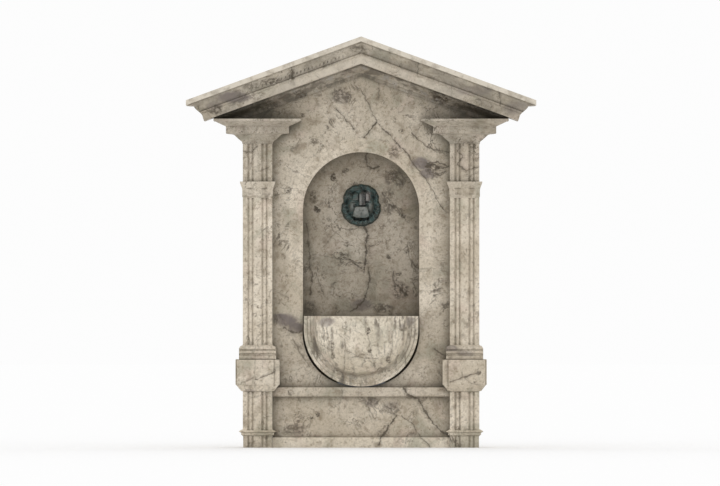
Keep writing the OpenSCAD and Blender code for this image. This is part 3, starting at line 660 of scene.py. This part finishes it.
def dress_stones():
    """Every stone gets its marble, those of the piers on both sides."""
    looks = dict(STONE_LOOKS)
    for name, (look, parts) in PIER_LOOKS.items():
        looks[name] = (look, [f"{side}_{part}" for side in ("left", "right") for part in parts])
    for name, (look, nodes) in looks.items():
        material = marble(name, **look)
        for node in nodes:
            dress(node, material, STONE_ARRIS, 3)


# --- Metal and fittings -------------------------------------------------------------------------


METAL_ARRIS = 0.0008

# Each finish: its clean and tarnished colours, its other settings, and what has it
FITTING_LOOKS = {
    "dull_brass": (srgb(196, 160, 92), srgb(110, 84, 48), dict(roughness=0.32),
                   ("spout_backnut", "stop_valve_body", "stop_valve_gland", "inlet_elbow", "waste_backnut")),
    "spout_bronze": (srgb(78, 76, 62), srgb(40, 44, 40), dict(roughness=0.5),
                     ("spout_tube",)),
    "copper_tube": (srgb(190, 116, 84), srgb(96, 58, 42), dict(roughness=0.34),
                    ("riser_pipe",)),
    "brushed_steel": (srgb(176, 176, 174), srgb(116, 114, 110), dict(roughness=0.36),
                      ("mask_studs", "stop_valve_lever", "pier_dowels", "cavity_ties")),
    "plated_brass": (srgb(206, 206, 206), srgb(150, 148, 142), dict(roughness=0.12, tarnish=0.2),
                     ("waste_body", "standing_waste")),
    "sheet_lead": (srgb(118, 120, 124), srgb(84, 86, 90), dict(roughness=0.55, metallic=0.8),
                   ("bowl_bedding",)),
    "washer_rubber": (srgb(40, 40, 40), srgb(60, 58, 54), dict(roughness=0.6, metallic=0.0),
                      ("waste_washers",)),
    "white_plastic": (srgb(226, 226, 222), srgb(196, 192, 182),
                      dict(roughness=0.3, metallic=0.0, tarnish=0.3),
                      ("trap_nut", "trap_bottle", "waste_outlet_pipe")),
}


def fitting(name, clean, tarnished, roughness, metallic=1.0, tarnish=0.4):
    """A handled metal or plastic: tarnish in patches, uneven gloss and fine scratches."""
    material, graph, shader = new_material(name)
    point = object_point(graph)
    patches = graph.ramp(graph.noise(point, 45, 5, 0.65), 0.45, 0.7, 0, tarnish)
    gloss = graph.ramp(graph.noise(point, 160, 4, 0.7), 0.3, 0.7, roughness, roughness + 0.2)
    graph.put(shader.inputs["Base Color"], graph.lay(clean, patches, tarnished))
    graph.put(shader.inputs["Roughness"], gloss)
    graph.put(shader.inputs["Metallic"], metallic)
    graph.put(shader.inputs["Normal"], graph.bump(graph.noise(point, 900, 3), 0.0002, 0.4))
    return material


def dress_fittings():
    """Every pipe, valve, waste and trap piece, stud, dowel, tie and packing gets its finish."""
    for name, (clean, tarnished, settings, nodes) in FITTING_LOOKS.items():
        material = fitting(name, clean, tarnished, **settings)
        for node in nodes:
            dress(node, material, METAL_ARRIS, 2)


# --- Lion mask ----------------------------------------------------------------------------------

# Radius of the studs that hold the mask at its centre's height, in metres
STUD_RADIUS = 0.004
# The mask's relief is in millimetres: x and z from its centre, and heights from its flat back
MASK_SPOKES = 256
MASK_RINGS = 84
FACE_RADIUS = 80
MOUTH_Z = -76
MOUTH_FLOOR = 8
EDGE_HEIGHT = 2


def smooth(value):
    """A smooth step from 0 to 1."""
    value = max(0.0, min(1.0, value))
    return value * value * (3 - 2 * value)


def dome(x, z, centre, radii):
    """A smooth bump from 0 at the ellipse round the centre to 1 in its middle."""
    across = ((x - centre[0]) / radii[0]) ** 2 + ((z - centre[1]) / radii[1]) ** 2
    return smooth(1 - math.sqrt(across))


def locks(angle, radius, count, twist):
    """Curling locks of mane round the face: 1 along their backs and 0 between them."""
    turn = count * angle / (2 * math.pi) + 0.3 * math.sin(radius / twist)
    return 1 - (2 * abs(turn % 1.0 - 0.5)) ** 1.6


def oval_reach(angle, centre_z, half_width, half_height):
    """Distance from the mask's centre to an oval whose own centre is moved up or down."""
    along, rise = math.cos(angle), math.sin(angle)
    a = (along / half_width) ** 2 + (rise / half_height) ** 2
    b = centre_z * rise / half_height ** 2
    c = (centre_z / half_height) ** 2 - 1
    return (b + math.sqrt(b ** 2 - a * c)) / a


def mask_outline(angle):
    """Distance of the mask's edge from its centre: a round head nicked at the ears above a wider ruff."""
    reach = max(oval_reach(angle, 38, 98, 78), oval_reach(angle, -17, 109, 99))
    return reach - 6 * smooth(1 - abs(math.sin(angle) - 0.15) / 0.11) + 1.2 * math.sin(17 * angle)


def muzzle_relief(x, z):
    """The broad tapering muzzle with its nose, pads and split lip."""
    half_width = 34 + max(0.0, -z - 4) * 0.33
    inside = smooth((half_width - x) / 7) * smooth((-z - 3) / 7) * smooth((z + 73) / 5)
    pads = 6 * dome(x, z, (24, -46), (26, 32))
    nose = 5 * dome(x, z, (0, -20), (24, 16)) - 3 * dome(x, z, (9, -30), (7, 6))
    lip_split = -2.5 * smooth(1 - x / 5) * smooth((-z - 36) / 8)
    return inside * (20 + pads + nose + lip_split)


def forelock_relief(x, z):
    """Three broad locks of hair over the brow, the middle one combed fine and run down between the eyes."""
    left = 9 * smooth((x + 52) / 8) * smooth((-12 - x) / 6) * smooth((z - 22) / 8)
    middle = 14 * smooth((x + 14) / 6) * smooth((24 - x) / 5) * smooth((z + 6) / 8)
    combed = 5 * smooth(1 - abs(x - 6) / 3) + 5 * smooth(1 - abs(x - 15) / 3)
    right = 21 * smooth((x - 21) / 7) * smooth((54 - x) / 16) * smooth((z - 18) / 10)
    return (left + middle * (1 - 0.12 * combed) + right) * smooth((80 - z) / 22)


def mask_relief(x, z):
    """Height of the lion mask's front: a ring of mane and ruff round a face, falling to a thin edge."""
    angle = math.atan2(z, x)
    radius = math.hypot(x, z)
    side = abs(x)
    rim = smooth((mask_outline(angle) - radius) / 10)
    ruff = 24 + 8 * locks(angle, radius, 23, 13)
    mane = 10 + 20 * locks(angle + 0.25, radius, 8, 24)
    ring = mane + (ruff - mane) * smooth((22 - z) / 34)

    face = 22 + 12 * smooth(1.25 - math.hypot(x / 62, (z - 2) / 74))
    face += forelock_relief(x, z)
    crown_tuft = 8 * dome(x, z, (-4, 88), (34, 16))
    brow_furrow = 3 * smooth(1 - abs(z - 17) / 8) * smooth((64 - side) / 20)
    brow = 4 * dome(side, z, (34, 8), (20, 11))
    eye_socket = 8 * dome(side, z, (33, -2), (14, 15))
    eye = 3 * dome(side, z, (33, -3), (6, 5))
    cheek = 22 * dome(side, z, (52, -6), (36, 60))
    chin = 12 * dome(0.8 * side, z, (0, -97), (34, 17))
    face += crown_tuft - brow_furrow + brow - eye_socket + eye + cheek + chin
    face += muzzle_relief(side, z)

    height = ring + (face - ring) * smooth((FACE_RADIUS - radius) / 7)
    groove = (4 + 3 * smooth((20 - z) / 40)) * smooth(1 - abs(radius - FACE_RADIUS) / 8)
    height -= groove
    mouth = smooth((43 - side) / 8) * smooth((7 - abs(z - MOUTH_Z)) / 2.5)
    height += (MOUTH_FLOOR - height) * mouth
    return EDGE_HEIGHT + (height - EDGE_HEIGHT) * rim


def sculpt_mask():
    """The cast lion mask: a relief over a round outline, closed by a flat back."""
    back_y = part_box("lion_mask")[1][1]
    centre_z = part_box("mask_studs")[0][2] + STUD_RADIUS
    mesh = bmesh.new()

    def front_point(x, z):
        return mesh.verts.new((x / 1000, back_y - mask_relief(x, z) / 1000, centre_z + z / 1000))

    middle = front_point(0, 0)
    loops = []
    for ring in range(1, MASK_RINGS + 1):
        loop = []
        for spoke in range(MASK_SPOKES):
            angle = 2 * math.pi * spoke / MASK_SPOKES
            radius = mask_outline(angle) * ring / MASK_RINGS
            loop.append(front_point(radius * math.cos(angle), radius * math.sin(angle)))
        loops.append(loop)
    loops.append([mesh.verts.new((edge.co.x, back_y, edge.co.z)) for edge in loops[-1]])

    for spoke in range(MASK_SPOKES):
        after = (spoke + 1) % MASK_SPOKES
        mesh.faces.new((middle, loops[0][after], loops[0][spoke]))
        for inner, outer in zip(loops, loops[1:]):
            mesh.faces.new((inner[spoke], inner[after], outer[after], outer[spoke]))
    mesh.faces.new(loops[-1])
    bmesh.ops.recalc_face_normals(mesh, faces=mesh.faces)
    add_piece("lion_head_casting", mesh, mask_bronze(), "lion_mask")


def add_piece(name, mesh, material, replaced):
    """Puts a finished mesh in the scene as a smooth piece of the surround, in place of a CAD node."""
    data = bpy.data.meshes.new(name)
    mesh.to_mesh(data)
    mesh.free()
    for face in data.polygons:
        face.use_smooth = True
    data.materials.append(material)
    piece = bpy.data.objects.new(name, data)
    bpy.context.scene.collection.objects.link(piece)
    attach(piece, SURROUND)
    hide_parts(replaced)


BRONZE_BROWN = srgb(66, 71, 67)
BRONZE_TEAL = srgb(68, 88, 86)
BRONZE_WORN = srgb(112, 116, 112)
BRONZE_RAISED = srgb(140, 141, 136)
BRONZE_RUBBED = srgb(158, 150, 148)
BRONZE_HOLLOW = srgb(34, 39, 37)
# Locks of the forelock that are rubbed pale, as patches on the front plane
RUBBED_LOCKS = (
    (0.037, 1.381, 0.018, 0.034, 0.6),
    (0.010, 1.37, 0.024, 0.045, 0.35),
)


def mask_bronze():
    """Weathered bronze: teal and brown patina, grey where it stands proud, near black in the hollows."""
    material, graph, shader = new_material("mask_bronze")
    point = object_point(graph)
    patches = graph.noise(point, 42, 4, 0.6)
    colour = graph.mix(graph.ramp(patches, 0.4, 0.6), BRONZE_BROWN, BRONZE_TEAL)
    worn = graph.ramp(graph.noise(point, 130, 4, 0.7), 0.5, 0.72, 0, 0.7)
    colour = graph.lay(colour, worn, BRONZE_WORN)
    niche_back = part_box("niche_back")[0][1]
    height = graph.math("SUBTRACT", niche_back, graph.split(point)["Y"])
    patchy = graph.ramp(graph.noise(point, 75, 4), 0.25, 0.6, 0.5, 1)
    raised = graph.times(graph.ramp(height, 0.03, 0.063), patchy)
    colour = graph.lay(colour, raised, BRONZE_RAISED)
    colour = graph.lay(colour, patches_mask(graph, point, RUBBED_LOCKS), BRONZE_RUBBED)
    colour = graph.lay(colour, graph.ramp(graph.hollows(0.03), 0.75, 0.25, 0, 0.75), BRONZE_HOLLOW)
    graph.put(shader.inputs["Base Color"], colour)
    graph.put(shader.inputs["Metallic"], 0.35)
    graph.put(shader.inputs["Roughness"], graph.ramp(patches, 0.3, 0.7, 0.42, 0.62))
    graph.put(shader.inputs["Normal"], graph.bump(graph.noise(point, 260, 5, 0.65), 0.0007, 0.7))
    return material


# --- Stage --------------------------------------------------------------------------------------


# Lengths in metres, apart from the lens and sensor in millimetres. The view's centre is its x and z.
FLOOR_HALF_WIDTH = 60
FLOOR_GLOW = 0.04
WORLD_STRENGTH = 0.98
VIEW_WIDTH = 3.96
VIEW_CENTRE = (-0.006, 1.125)
LENS = 800
SENSOR_WIDTH = 36


def make_floor():
    """A wide pale matt floor under the font, with a faint glow that keeps it as white as the background."""
    half = FLOOR_HALF_WIDTH
    corners = [(-half, -half, 0), (half, -half, 0), (half, half, 0), (-half, half, 0)]
    mesh = bpy.data.meshes.new("studio_floor")
    mesh.from_pydata(corners, [], [(0, 1, 2, 3)])
    floor = bpy.data.objects.new("studio_floor", mesh)
    bpy.context.scene.collection.objects.link(floor)
    material, graph, shader = new_material("pale_floor")
    tone = graph.noise(object_point(graph), 3)
    graph.put(shader.inputs["Base Color"], graph.mix(tone, (0.97, 0.97, 0.97, 1), (0.96, 0.96, 0.96, 1)))
    graph.put(shader.inputs["Emission Color"], (1, 1, 1, 1))
    graph.put(shader.inputs["Emission Strength"], FLOOR_GLOW)
    graph.put(shader.inputs["Roughness"], 0.9)
    graph.put(shader.inputs["Specular IOR Level"], 0)
    mesh.materials.append(material)


def make_light():
    """Even white light from all round."""
    world = bpy.data.worlds.new("soft_studio")
    world.use_nodes = True
    background = world.node_tree.nodes["Background"]
    background.inputs["Color"].default_value = (1, 1, 1, 1)
    background.inputs["Strength"].default_value = WORLD_STRENGTH
    bpy.context.scene.world = world


def make_camera():
    """A long lens square to the front, framing the font with wide margins."""
    data = bpy.data.cameras.new("front_camera")
    data.lens = LENS
    data.sensor_width = SENSOR_WIDTH
    data.clip_end = 400
    camera = bpy.data.objects.new("front_camera", data)
    bpy.context.scene.collection.objects.link(camera)
    wall_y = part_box("wall_slab")[0][1]
    distance = VIEW_WIDTH * LENS / SENSOR_WIDTH
    camera.location = (VIEW_CENTRE[0], wall_y - distance, VIEW_CENTRE[1])
    camera.rotation_euler = (math.radians(90), 0, 0)
    bpy.context.scene.camera = camera


def main():
    dress_stones()
    dress_fittings()
    sculpt_mask()
    make_floor()
    make_light()
    make_camera()
    bpy.context.scene.view_settings.view_transform = "Standard"


main()
